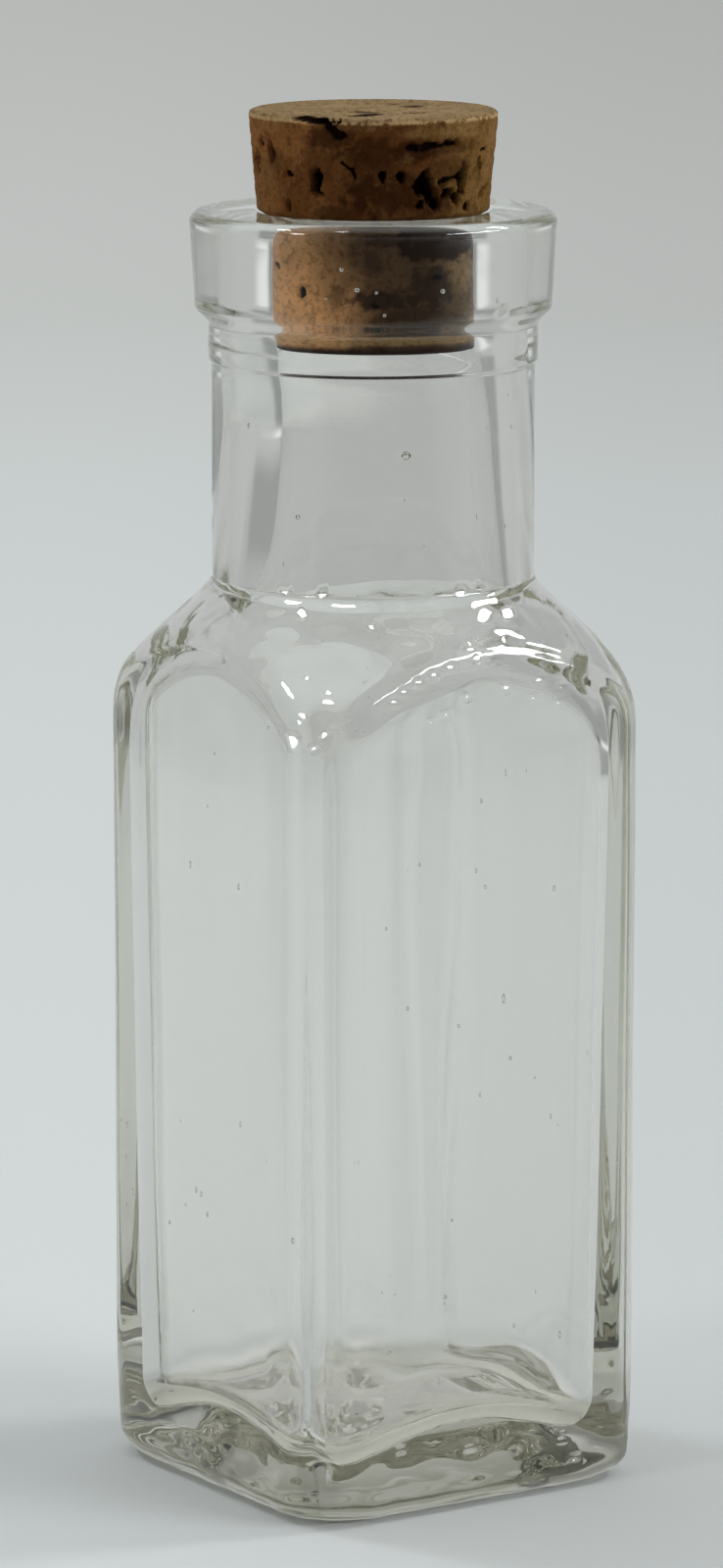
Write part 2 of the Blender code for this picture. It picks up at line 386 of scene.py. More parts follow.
class GlassForm:
    def __init__(self):
        self.half = glassHigh.x
        self.top = glassHigh.z
        cut = glass["cornerFace"] / math.sqrt(2)
        self.corner = (2 * self.half - cut) / math.sqrt(2)
        self.creaseTurn = math.atan2(self.half - cut, self.half)
        self.dome = math.hypot(self.half - cut, self.half) + glass["shoulderOverhang"]
        self.turns = self.makeTurns()
        self.rings = []

    def makeTurns(self):
        turns = []
        for quarter in range(4):
            middle = quarter * quarterTurn
            for step in range(glass["sideSteps"]):
                share = 2 * step / glass["sideSteps"] - 1
                crowded = glass["crowding"] * math.sin(share * quarterTurn)
                turns.append(middle + self.creaseTurn * ((1 - glass["crowding"]) * share + crowded))
            span = quarterTurn - 2 * self.creaseTurn
            for step in range(glass["cornerSteps"]):
                turns.append(middle + self.creaseTurn + span * step / glass["cornerSteps"])
        return np.array(turns)

    def fromSide(self, turns):  # the turn from the middle of the nearest side
        return (turns + quarterTurn / 2) % quarterTurn - quarterTurn / 2

    def square(self, side, corner, crease):
        fromSide = self.fromSide(self.turns)
        fromCorner = quarterTurn / 2 - np.abs(fromSide)
        return easedMin(side / np.cos(fromSide), corner / np.cos(fromCorner), crease)

    def add(self, radii, heights):
        plain = np.ones_like(self.turns)
        self.rings.append((radii * plain, heights * plain))

    def addShoulder(self, inset, crease, dome, rise, neck, blend, arch, down=False):
        lastTurn = math.acos(max(neck - blend, 0) / dome)
        shares = steps(ringCounts["innerShoulder" if down else "shoulder"])
        for share in reversed(shares) if down else shares:
            turn = lastTurn * share
            body = self.square(self.half - inset, self.corner - inset, crease)
            domed = easedMax(dome * math.cos(turn), neck, blend)
            self.add(easedMin(body, domed, arch), glass["bodyHeight"] + rise * math.sin(turn))

    def addOutside(self):
        foot = self.square(self.half - glass["heel"], self.corner - glass["heelCorner"], glass["crease"])
        for share in steps(ringCounts["base"], 1)[:-1]:
            ridges = glass["ridges"] * (1 + math.sin(share * glass["ridgeTurns"])) * share
            self.add(foot * share, glass["pushUp"] * (1 - share ** 2) + ridges)
        self.footRow = len(self.rings)
        for share in reversed(steps(ringCounts["heel"])):
            turn = quarterTurn * share
            drop = 1 - math.cos(turn)
            radii = self.square(self.half - glass["heel"] * drop, self.corner - glass["heelCorner"] * drop,
                                glass["crease"] + glass["heelCrease"])
            self.add(radii, glass["heel"] * (1 - math.sin(turn)))
        for share in steps(ringCounts["wall"], 1)[:-1]:
            rise = share * (1 - glass["rowCrowding"] + glass["rowCrowding"] * share ** 2)
            height = glass["heel"] + (glass["bodyHeight"] - glass["heel"]) * rise
            crease = glass["crease"] + glass["footCrease"] * ramped(height, glass["creaseReach"], 0)
            self.add(self.square(self.half, self.corner, crease), height)
        self.addShoulder(0, glass["crease"], self.dome, glass["shoulderRise"],
                         glass["neckRadius"], glass["neckBlend"], glass["shoulderBlend"])
        neck, ring = glass["neckRadius"], glass["neckRadius"] + glass["ringStep"]
        shoulderTop = self.rings[-1][1][0]
        ringFoot = glass["ringBottom"] - glass["ringEase"]
        for share in steps(ringCounts["neck"], 1):
            self.add(neck, shoulderTop + (ringFoot - shoulderTop) * share)
        for share in steps(ringCounts["ringFoot"], 1):
            self.add(neck + glass["ringStep"] * slope(share), ringFoot + glass["ringEase"] * share)
        lipFoot = glass["ringBottom"] + glass["ringHeight"]
        for share in steps(ringCounts["ring"], 1):
            self.add(ring, glass["ringBottom"] + glass["ringHeight"] * share)
        for share in steps(ringCounts["lipFoot"], 1):
            self.add(ring + glass["lipStep"] * slope(share), lipFoot + glass["lipEase"] * share)
        lip = ring + glass["lipStep"] + glass["lipFlare"]
        lipLow, lipHigh = lipFoot + glass["lipEase"], self.top - glass["lipRound"]
        for share in steps(ringCounts["lip"], 1)[:-1]:
            self.add(lip - glass["lipFlare"] * (1 - share), lipLow + (lipHigh - lipLow) * share)
        for share in steps(ringCounts["lipRound"]):
            turn = quarterTurn * share
            self.add(lip - glass["lipRound"] * (1 - math.cos(turn)),
                     self.top - glass["lipRound"] * (1 - math.sin(turn)))
        self.landOuter = lip - glass["lipRound"]

    def addInside(self):
        mouth = glass["mouthBore"] + glass["mouthRound"]
        for share in steps(ringCounts["land"], 1)[:-1]:
            self.add(self.landOuter + (mouth - self.landOuter) * share, self.top)
        for share in steps(ringCounts["mouthRound"]):
            turn = quarterTurn * share
            self.add(mouth - glass["mouthRound"] * math.sin(turn),
                     self.top - glass["mouthRound"] * (1 - math.cos(turn)))
        boreTop, boreEnd = self.top - glass["mouthRound"], self.top - glass["mouthDepth"]
        for share in steps(ringCounts["mouth"], 1):
            self.add(glass["mouthBore"], boreTop + (boreEnd - boreTop) * share)
        marker = len(self.rings)
        self.addShoulder(glass["wallAtShoulder"], glass["innerCorner"], self.dome - glass["wallAtDome"],
                         glass["shoulderRise"] - glass["wallAtCrown"], glass["neckFootBore"],
                         glass["innerNeckBlend"], glass["innerShoulderBlend"], down=True)
        shoulderRings = self.rings[marker:]
        del self.rings[marker:]
        shoulderTop = shoulderRings[0][1][0]
        widening = glass["neckFootBore"] - glass["mouthBore"]
        for share in steps(ringCounts["bore"], 1)[:-1]:
            self.add(glass["mouthBore"] + widening * share ** 2, boreEnd + (shoulderTop - boreEnd) * share)
        self.rings += shoulderRings
        heelRings = []
        for share in steps(ringCounts["innerHeel"]):
            turn = quarterTurn * share
            inset = glass["wallAtBase"] + glass["innerHeel"] * (1 - math.cos(turn))
            radii = self.square(self.half - inset, self.corner - inset, glass["innerCorner"])
            heelRings.append((radii, self.floor(radii) + glass["innerHeel"] * (1 - math.sin(turn))))
        above, below = self.rings[-1], heelRings[0]
        for share in steps(ringCounts["innerWall"], 1)[:-1]:
            self.add(above[0] + (below[0] - above[0]) * share, above[1] + (below[1] - above[1]) * share)
        self.rings += heelRings
        edge = self.rings[-1][0]
        for share in steps(ringCounts["floor"], 1)[:-1]:
            self.add(edge * (1 - share), self.floor(edge * (1 - share)))

    def floor(self, radii):
        side = self.half - glass["wallAtBase"] - glass["innerHeel"]
        corner = self.corner - glass["wallAtBase"] - glass["innerHeel"]
        cornered = (np.abs(self.fromSide(self.turns)) / (quarterTurn / 2)) ** 2
        edge = glass["floorAtSide"] + (glass["floorAtCorner"] - glass["floorAtSide"]) * cornered
        share = np.minimum(radii / (side + (corner - side) * cornered), 1) ** 2
        return glass["floorAtMiddle"] + (edge - glass["floorAtMiddle"]) * share

    def uneven(self, points, normals, firstInside):
        moved = points.copy()
        for wave in waves:
            rows = range(firstInside) if wave["on"] == "outside" else range(firstInside, len(points))
            sink = waveRules["inwards"] if wave["on"] == "outside" else 0
            shift = Vector(waveRules["seedStep"]) * wave["seed"]
            for row in rows:
                height = points[row, 0, 2] / mm
                inside = min(height - wave["low"], wave["high"] - height)
                if inside <= 0:
                    continue
                depth = wave["depth"] * mm * ramped(inside, 0, wave.get("ramp", waveRules["ramp"]))
                for column in range(points.shape[1]):
                    x, y, z = points[row, column] / mm
                    share = 1
                    if wave.get("domeOnly"):
                        share = ramped(abs(normals[row, column, 2]), *waveRules["dome"])
                    if wave.get("nearOnly"):
                        share = ramped(alongSight(x, y), *waveRules["near"])
                    place = Vector((x / wave["across"], y / wave["across"], z / wave["up"]))
                    push = depth * share * (noise.noise(place + shift) - sink)
                    moved[row, column] += normals[row, column] * push
        return moved

    def addGlints(self, points, normals, firstInside):
        # flattens a small spot so that it mirrors the nearest lamp to the camera
        outside, facing = points[:firstInside], normals[:firstInside]
        sight = outside - np.array(eye)
        depth = sight @ np.array(eyeAhead)
        across = shot["wide"] / 2 + pixelSpan * (sight @ np.array(eyeRight)) / depth
        down = shot["tall"] / 2 - pixelSpan * (sight @ np.array(eyeUp)) / depth
        near = np.einsum("ijk,ijk->ij", facing, sight) < 0
        for x, y, wide in glints:
            apart = np.where(near, np.hypot(across - x, down - y), np.inf)
            weight = slope(np.clip((wide / 2 - apart) / glintRules["soft"] + 0.5, 0, 1))
            total = weight.sum()
            if total < glintRules["leastWeight"]:
                continue
            centre = (outside * weight[..., None]).sum((0, 1)) / total
            normal = (facing * weight[..., None]).sum((0, 1))
            normal /= np.linalg.norm(normal)
            towards = np.array(eye) - centre
            towards /= np.linalg.norm(towards)
            halves = []
            for lamp in (lamp for lamp in lamps if lamp["glints"]):
                ray = np.array(lamp["place"]) - centre
                half = ray / np.linalg.norm(ray) + towards
                halves.append(half / np.linalg.norm(half))
            half = max(halves, key=lambda option: float(option @ normal))
            if math.acos(min(float(half @ normal), 1)) > glintRules["mostLean"]:
                continue
            gap = (outside - centre) @ half
            outside -= (weight * gap)[..., None] * half

    def faceOut(self, points):
        along = np.roll(points, -1, axis=1) - np.roll(points, 1, axis=1)
        up = np.gradient(points, axis=0)
        normals = np.cross(along, up)
        length = np.linalg.norm(normals, axis=2, keepdims=True)
        return normals / np.maximum(length, 1e-12)

    def build(self):
        self.addOutside()
        firstInside = len(self.rings)
        self.addInside()
        count = len(self.turns)
        radii = np.array([ring[0] for ring in self.rings])
        heights = np.array([ring[1] for ring in self.rings])
        points = np.stack([radii * np.cos(self.turns), radii * np.sin(self.turns), heights], axis=2)
        for row in range(firstInside, len(points)):
            share = ramped(points[row, 0, 2], glass["offsetStart"], glass["offsetFull"])
            share *= ramped(points[row, 0, 2], glass["offsetEnd"], glass["offsetFade"])
            points[row, :, 0] += glass["boreOffset"] * share * awayY
            points[row, :, 1] -= glass["boreOffset"] * share * awayX
        points = self.uneven(points, self.faceOut(points), firstInside)
        self.addGlints(points, self.faceOut(points), firstInside)
        points[self.footRow, :, 2] = 0
        points[..., :2] = np.clip(points[..., :2], -self.half, self.half)
        points[..., 2] = np.clip(points[..., 2], 0, self.top)
        verts = [tuple(point) for point in points.reshape(-1, 3)]
        faces = [tuple(reversed(range(count)))] + bandFaces(len(self.rings), count)
        faces += fanFaces((len(self.rings) - 1) * count, count, len(verts))
        verts.append((0, 0, glass["floorAtMiddle"]))
        self.addSeeds(verts, faces)
        return newMesh("glass_body", verts, faces)

    def addSeeds(self, verts, faces):
        ball = bmesh.new()
        bmesh.ops.create_icosphere(ball, subdivisions=2, radius=1)
        ballVerts = [vert.co.copy() for vert in ball.verts]
        ballFaces = [[vert.index for vert in face.verts] for face in ball.faces]
        ball.free()
        for place, sizes in self.placeSeeds():
            first = len(verts)
            turn = Matrix.Rotation(math.atan2(place.y, place.x), 3, "Z")
            for vert in ballVerts:
                verts.append(tuple(place + turn @ (vert * Vector(sizes))))
            faces += [tuple(first + index for index in reversed(face)) for face in ballFaces]

    def placeSeeds(self):
        placed = []
        for x, y, wide, tall in seeds["seen"]:
            inNeck = y < seeds["neckFoot"]
            turn, height = atPixel(x, y, glass["neckRadius"] - seeds["depthInNeck"] if inNeck else self.half)
            placed.append((turn, height, wide / 2 * mm, tall / 2 * mm))
        draw = random.Random(seeds["seed"])
        for index in range(seeds["count"]):
            size = draw.uniform(*seeds["sizes"]) * mm
            turn = draw.uniform(0, fullTurn)
            height = draw.uniform(*seeds["heights"]) * mm
            placed.append((turn, height, size, size * draw.uniform(*seeds["stretch"])))
        for turn, height, wide, tall in placed:
            depth = min(wide, seeds["deepest"])
            radius = self.middleOfWall(turn, height)
            yield Vector((radius * math.cos(turn), radius * math.sin(turn), height)), (depth, wide, tall)

    def middleOfWall(self, turn, height):
        fromSide = self.fromSide(turn)
        neck = (glass["neckRadius"] + glass["mouthBore"]) / 2
        if height < seeds["wallTop"]:
            return min((self.half - seeds["depthInWall"]) / math.cos(fromSide),
                       (self.corner - seeds["depthInWall"]) / math.cos(quarterTurn / 2 - abs(fromSide)))
        if height > seeds["shoulderTop"]:
            return neck
        rise = glass["shoulderRise"] - seeds["depthInCrown"]
        turnUp = math.asin(min((height - glass["bodyHeight"]) / rise, 1))
        dome = max((self.dome - seeds["depthInShoulder"]) * math.cos(turnUp), neck)
        return min(dome, (self.half - seeds["depthInShoulder"]) / math.cos(fromSide))


# Bubbles in the glass: those that show plainly, as x and y in the photograph and sizes across and up in mm,
# and small ones, with sizes and heights in mm
seeds = {
    "seen": [(414, 465, 0.46, 0.44), (306, 527, 0.22, 0.26), (521, 1020, 0.2, 0.5), (560, 905, 0.16, 0.3),
             (246, 905, 0.18, 0.34), (392, 1375, 0.3, 0.2), (455, 1325, 0.2, 0.24), (205, 1240, 0.18, 0.3),
             (350, 273, 0.20, 0.20), (365, 294, 0.24, 0.22), (384, 297, 0.14, 0.14), (448, 295, 0.24, 0.22),
             (335, 303, 0.12, 0.12), (392, 320, 0.16, 0.16), (315, 329, 0.16, 0.20), (476, 327, 0.16, 0.30)],
    "count": 60,
    "sizes": (0.035, 0.10),
    "heights": (5, 52),
    "stretch": (1, 2.2),
    "seed": 41,
    "neckFoot": 600,      # a pixel row: those above it are in the neck
    "depthInNeck": 1.10 * mm,
    "wallTop": 35 * mm,
    "depthInWall": 0.85 * mm,
    "shoulderTop": 43 * mm,
    "depthInShoulder": 0.75 * mm,
    "depthInCrown": 0.70 * mm,
    "deepest": 0.25 * mm,
}
glassNoise = {
    "cloudScale": 260, "cloud": 4 * mm,
    "rippleScale": 900, "rippleStrength": 0.25, "ripple": 0.004 * mm,
}
# Between which heights each tint comes in
tintEdges = {"base": (1.6 * mm, 2.8 * mm), "shoulder": (33 * mm, 38 * mm), "neck": (42.5 * mm, 47 * mm)}


def glassFinish():
    finish, bench = newFinish("oldClearGlass")
    place = bench.node("TexCoord", out=3)
    height = bench.parts(place)[2]
    cloudy = bench.node("TexNoise", {}, {"Vector": place, "Scale": glassNoise["cloudScale"], "Detail": 3})
    inNeck = (height + (cloudy - 0.5) * glassNoise["cloud"]).eased(*tintEdges["neck"])
    tint = height.eased(*tintEdges["shoulder"]).tint((*glass["bodyTint"], 1), (*glass["shoulderTint"], 1))
    tint = inNeck.tint(tint, (*glass["neckTint"], 1))
    tint = height.eased(*tintEdges["base"], 1, 0).tint(tint, (*glass["baseTint"], 1))
    ripples = bench.node("TexNoise", {}, {"Vector": place, "Scale": glassNoise["rippleScale"], "Detail": 2})
    bump = bench.node("Bump", {}, {
        "Strength": glassNoise["rippleStrength"], "Distance": glassNoise["ripple"], "Height": ripples})
    surface = bench.node("BsdfPrincipled", {}, {
        "Base Color": tint, "Roughness": 0, "IOR": glass["ior"], "Transmission Weight": 1, "Normal": bump})
    depth = bench.node("VolumeAbsorption", {}, {
        "Color": (*glass["absorbed"], 1), "Density": glass["density"]})
    closeFinish(bench, surface, depth)
    return finish


def makeGlass():
    mesh = GlassForm().build()
    mesh.materials.append(glassFinish())
    piece = newObject("glass_body", mesh)
    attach(piece, "bottle")
    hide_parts("glass_bottle")


makeGlass()
print("glass made")


# Cork

corkLow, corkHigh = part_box("cork_stopper")
cork = {
    "lipRadius": 5.43 * mm,
    "taper": 0.088,
    "squeeze": 0.35 * mm,
    "play": 0.04 * mm,
    "edge": 0.22 * mm,
    "sides": 480,
    "rows": 120,
    "sharpAngle": 60,        # degrees
    "halfWidth": 5.8 * mm,   # from the axis to where the colours at its sides are full
    "tan": (0.155, 0.080, 0.022),
    "topPale": (0.300, 0.205, 0.105),
    "topTan": (0.225, 0.150, 0.072),
    "topDark": (0.110, 0.062, 0.026),
    "brown": (0.150, 0.058, 0.016),
    "russet": (0.235, 0.100, 0.032),
    "dark": (0.026, 0.008, 0.0017),
    "chip": (0.200, 0.112, 0.040),
    # painted highlight along the top edge
    "rim": (0.400, 0.265, 0.125),
    # near black for the hollows: the pores' own dark and painted shade in slots and cracks
    "poreAndShade": (0.008, 0.003, 0.001),
    "freshRusset": (0.980, 0.520, 0.220),
    "freshTan": (0.700, 0.450, 0.200),
    "freshDark": (0.020, 0.008, 0.0025),
}

# Hollows in the side: x, y, width and height in the pixels of the photograph, depth in mm, lean in degrees
hollows = [
    (319, 123.5, 42, 7, 0.75, 3),      # slot under the top edge
    (339, 131, 17, 9, 0.45, 28),
    (345, 137, 15, 9, 0.35, 10),
    (322.5, 188, 10, 29, 0.85, -10),   # upright slot
    (390.5, 181, 8, 11, 0.60, 0),
    (409, 181, 7, 10, 0.60, 0),
    (352, 169, 15, 3.2, 0.22, 38),     # bent crack
    (361, 178, 4, 15, 0.25, -14),
    (268, 144, 5, 9, 0.35, -24),
    (294.5, 177, 7, 6, 0.22, 0),
    (292.5, 211, 5, 11, 0.40, 8),
    (434, 190, 17, 22, 0.80, 14),      # large broken patch
    (440, 200, 12, 14, 0.60, 0),
    (447, 209, 10, 13, 0.55, 10),
    (457, 197, 13, 9, 0.55, -40),
    (456, 184, 24, 5, 0.40, -8),
    (473, 182, 9, 22, 0.75, 12),
    (465, 203, 6, 13, 0.50, 0),
    (430, 209, 6, 9, 0.35, 0),
    (479, 210, 5, 9, 0.30, 0),
    (440, 149, 40, 6, 0.35, -4),       # crack below the broken band
    (424, 152, 14, 7, 0.35, 5),
    (456, 147, 14, 4, 0.30, -8),
    (493, 152, 6, 4, 0.2, 0),
    (307, 293, 7, 13, 0.25, 0),        # behind the glass
    (384, 308, 9, 5, 0.25, 35),
    (449, 278, 7, 5, 0.25, 0),
]

# Where the cork lies tight on the glass and looks dark: x, y, width and height in those pixels, strength
tight = [
    (448, 247, 84, 28, 1.0), (400, 240, 40, 12, 0.7), (442, 288, 36, 44, 0.75), (392, 302, 60, 20, 0.85),
    (420, 318, 60, 16, 0.6), (381, 262, 16, 30, 0.5), (455, 322, 50, 14, 0.4),
]

# Patches of the cork above the glass, given in the same way: dark ones, partly its own dark and partly
# painted shade under its cracks and slots and in its middle, and pale chips
darkPatchesAndShade = [
    (390, 158, 90, 30, 0.75), (424, 154, 50, 18, 0.9), (338, 142, 46, 22, 0.8), (452, 150, 70, 14, 0.6),
    (325, 160, 30, 60, 0.35), (400, 200, 90, 40, 0.85), (446, 205, 50, 36, 0.7), (386, 178, 60, 30, 0.5),
    (345, 218, 60, 12, 0.5), (282, 165, 12, 30, 0.35), (462, 176, 40, 26, 0.45),
]
chips = [
    (470, 131, 70, 14, 0.85), (425, 137, 30, 8, 0.6), (500, 150, 16, 60, 0.7), (262, 208, 16, 24, 0.8),
    (270, 182, 26, 36, 0.45), (486, 195, 22, 50, 0.45), (372, 130, 30, 8, 0.5), (275, 130, 34, 14, 0.3),
]

# What turns a place in the photograph into one on the cork
seen = {
    "pixelsPerMm": 21.9,
    "axis": 381,             # pixel column of the cork's axis
    "lipRow": 230,           # pixel row below which the cork is seen through the lip
    "corkRadius": 5.6 * mm,
    "lipRadius": 8.5 * mm,
    "widest": 4.6 * mm,
    "drop": 0.45 * mm,       # how much lower the lip shows a spot
    "leastFacing": 0.35,
}

# Roughness of the cork: its size and depth in mm, and the pores on the far side
bumps = {
    "size": 0.5, "depth": 0.050, "roughness": 0.6, "held": 0.25, "freeAbove": 0.6 * mm,
    "backPores": 46, "seed": 12,
    "turns": (0.28, 1.72),   # in half turns from the near side
    "margins": (0.6 * mm, 0.5 * mm),
    "shapes": [(0.14, 0.24), (0.12, 0.5), (0.5, 0.13), (0.2, 0.2), (0.3, 0.55)],
    "sizes": (0.6, 1.4), "depths": (0.2, 0.6), "leans": (-0.6, 0.6),
    "corners": 2.4,          # 2 is an oval, more is squarer
    "ragged": 0.55, "edge": (1.25, 0.5),
    "spotRagged": 0.5, "spotEdge": (1.3, 0.6),
}

# The top of the cork: rings crowd at its rim; its grain and hollows are in mm
corkTop = {
    "rimShares": [0.975, 0.95, 0.92, 0.89], "inner": 0.86, "rings": 30,
    "drop": 0.035, "grain": 0.030, "grainSize": 0.55, "grainRoughness": 0.7, "grainSlice": 9,
    "sink": 0.28, "sinkSize": 1.3, "sinkFrom": 0.22, "sinkMark": 2.2, "sinkSlice": 3, "middle": 0.03,
}


def grainNoise(place, roughness):  # three layers, each twice as fine as the last
    return noise.fractal(place, roughness, 2, 3)


def corkRadius(height):
    free = cork["lipRadius"] + cork["taper"] * (height - glassHigh.z)
    reach = glass["mouthRound"] + cork["play"]
    above = np.maximum(height - (glassHigh.z - glass["mouthRound"]), 0)
    limit = glass["mouthBore"] + glass["mouthRound"] - np.sqrt(np.maximum(reach ** 2 - above ** 2, 0))
    squeezed = easedMin(free, limit, cork["squeeze"])
    return np.where(above >= reach, free, squeezed)


def onCork(x, y):  # the turn and height of a spot on the cork, seen plainly or through the lip
    if y < seen["lipRow"]:
        return atPixel(x, y, seen["corkRadius"])
    turn, height = atPixel(x, y, seen["lipRadius"])
    aside = (x - seen["axis"]) / seen["pixelsPerMm"] * mm
    aside = max(min(aside, seen["widest"]), -seen["widest"])
    bend = math.asin(aside / seen["lipRadius"]) - math.asin(aside / seen["lipRadius"] / glass["ior"])
    bend += math.asin(aside / glass["ior"] / glass["mouthBore"])
    return eyeTurn + bend, height - seen["drop"]


def facingEye(turn):
    return max(math.cos(turn - eyeTurn), seen["leastFacing"])


def corkPits():
    pits = []
    halfPixel = mm / seen["pixelsPerMm"] / 2
    for x, y, wide, tall, depth, lean in hollows:
        turn, height = onCork(x, y)
        pits.append((turn, height, wide * halfPixel / facingEye(turn), tall * halfPixel,
                     depth * mm, math.radians(lean)))
    draw = random.Random(bumps["seed"])
    for index in range(bumps["backPores"]):
        turn = eyeTurn + draw.uniform(*bumps["turns"]) * math.pi
        height = draw.uniform(corkLow.z + bumps["margins"][0], corkHigh.z - bumps["margins"][1])
        wide, tall = draw.choice(bumps["shapes"])
        size = draw.uniform(*bumps["sizes"]) * mm
        pits.append((turn, height, wide * size, tall * size,
                     draw.uniform(*bumps["depths"]) * mm, draw.uniform(*bumps["leans"])))
    return pits


def aroundFrom(turn, place):
    return (turn - place + math.pi) % fullTurn - math.pi


def markSpots(spots, turn, height, radius, ragged):
    mark = np.zeros_like(radius)
    halfPixel = mm / seen["pixelsPerMm"] / 2
    full, fade = bumps["spotEdge"]
    for x, y, wide, tall, strength in spots:
        place, level = onCork(x, y)
        facing = facingEye(place) if y < seen["lipRow"] else 1
        aside = aroundFrom(turn, place) * radius * facing
        reach = np.hypot(aside / (wide * halfPixel), (height - level) / (tall * halfPixel))
        share = slope(np.clip((full - reach - bumps["spotRagged"] * ragged) / fade, 0, 1))
        mark = np.maximum(mark, strength * share)
    return mark


def corkSide():
    low, high = corkLow.z, corkHigh.z
    heights = np.linspace(low, high, cork["rows"])
    turns = np.linspace(0, fullTurn, cork["sides"], endpoint=False)
    turn, height = np.meshgrid(turns, heights)
    radius = corkRadius(height)
    ragged = np.zeros_like(radius)
    for row in range(height.shape[0]):
        for column in range(height.shape[1]):
            spot = Vector((math.cos(turns[column]), math.sin(turns[column]), 0)) * (seen["corkRadius"] / mm)
            spot.z = heights[row] / mm
            ragged[row, column] = grainNoise(spot / bumps["size"], bumps["roughness"])
    hollow = np.zeros_like(radius)
    sunk = np.zeros_like(radius)
    power = bumps["corners"]
    full, fade = bumps["edge"]
    for place, level, wide, tall, depth, lean in corkPits():
        aside, above = aroundFrom(turn, place) * radius, height - level
        a = aside * math.cos(lean) - above * math.sin(lean)
        b = above * math.cos(lean) + aside * math.sin(lean)
        reach = (np.abs(a / wide) ** power + np.abs(b / tall) ** power) ** (1 / power)
        share = slope(np.clip((full - reach - bumps["ragged"] * ragged) / fade, 0, 1))
        hollow = np.maximum(hollow, share)
        sunk = np.maximum(sunk, share * depth)
    marks = {"hollow": hollow}
    for name, spots in (("tight", tight), ("smudge", darkPatchesAndShade), ("chip", chips)):
        marks[name] = markSpots(spots, turn, height, radius, ragged)
    fine = bumps["depth"] * mm * ragged
    held = np.clip((height - glassHigh.z) / bumps["freeAbove"], bumps["held"], 1)
    top = np.maximum(height - (high - cork["edge"]), 0)
    rounded = cork["edge"] - np.sqrt(np.maximum(cork["edge"] ** 2 - top ** 2, 0))
    foot = np.maximum(low + cork["edge"] - height, 0)
    rounded += cork["edge"] - np.sqrt(np.maximum(cork["edge"] ** 2 - foot ** 2, 0))
    outer = radius - rounded - sunk + (fine - 0.5 * bumps["depth"] * mm) * held
    return turn, height, outer, marks


def topGrain(x, y):
    place = Vector((x, y, corkTop["grainSlice"])) / corkTop["grainSize"]
    return grainNoise(place, corkTop["grainRoughness"])


def topHollow(x, y):
    place = Vector((x, y, corkTop["sinkSlice"])) / corkTop["sinkSize"]
    return max(noise.noise(place) - corkTop["sinkFrom"], 0)


def makeCork():
    turn, height, radius, spots = corkSide()
    points = [np.stack([radius * np.cos(turn), radius * np.sin(turn), height], axis=2).reshape(-1, 3)]
    marks = [spots["hollow"].reshape(-1)]
    rims = radius[-1]
    inner = [corkTop["inner"] * (1 - share) for share in steps(corkTop["rings"], 1)[:-1]]
    shares = corkTop["rimShares"] + inner
    for share in shares:
        x, y = rims * share * np.cos(turn[-1]), rims * share * np.sin(turn[-1])
        lift = np.array([topGrain(*spot) for spot in zip(x / mm, y / mm)])
        sink = np.array([topHollow(*spot) for spot in zip(x / mm, y / mm)])
        level = corkHigh.z + (corkTop["grain"] * lift - corkTop["drop"] - corkTop["sink"] * sink) * mm
        points.append(np.stack([x, y, np.minimum(level, corkHigh.z)], axis=1))
        marks.append(np.clip(sink * corkTop["sinkMark"], 0, 1))
    count = cork["sides"]
    rows = cork["rows"] + len(shares)
    faces = bandFaces(rows, count)
    verts = [tuple(vert) for vert in np.concatenate(points)]
    faces += fanFaces((rows - 1) * count, count, len(verts))
    faces += [face[::-1] for face in fanFaces(0, count, len(verts) + 1)]
    verts += [(0, 0, corkHigh.z - corkTop["middle"] * mm), (0, 0, corkLow.z)]
    marks = list(np.concatenate(marks)) + [0, 0]
    mesh = newMesh("cork_plug", verts, faces)
    mesh.attributes.new("hollow", "FLOAT", "POINT").data.foreach_set("value", marks)
    for name in ("tight", "smudge", "chip"):
        values = np.concatenate([spots[name].reshape(-1), np.zeros(len(verts) - spots[name].size)])
        mesh.attributes.new(name, "FLOAT", "POINT").data.foreach_set("value", values)
    mesh.set_sharp_from_angle(angle=math.radians(cork["sharpAngle"]))
    mesh.materials.append(corkFinish())
    piece = newObject("cork_plug", mesh)
    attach(piece, "stopper")
    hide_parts("cork_stopper")


corkNoise = {
    "soft": {"Scale": 330, "Detail": 3, "Roughness": 0.6},
    "blotch": {"Scale": 900, "Detail": 4, "Roughness": 0.65},
    "grain": {"Scale": 4200, "Detail": 2, "Roughness": 0.7},
    "cells": {"Scale": 2600},
}
# Where its colours start to change and where they are full
corkEdges = {
    "footDark": (0.50 * mm, 0.15 * mm),    # these three are measured from the foot of the cork
    "bandStart": (0.40 * mm, 0.60 * mm),
    "bandEnd": (1.70 * mm, 1.45 * mm),
    "inGlass": (-0.20 * mm, -0.90 * mm),   # from the top of the glass
    "top": (-0.20 * mm, -0.08 * mm),       # from the top of the cork, as is the next
    "rim": (-0.34 * mm, -0.24 * mm),
    "footWander": 0.30 * mm,               # how far blotches shift them
    "topWander": 0.35 * mm,
    "rimWander": 0.20 * mm,
    "relief": 0.06 * mm,
}


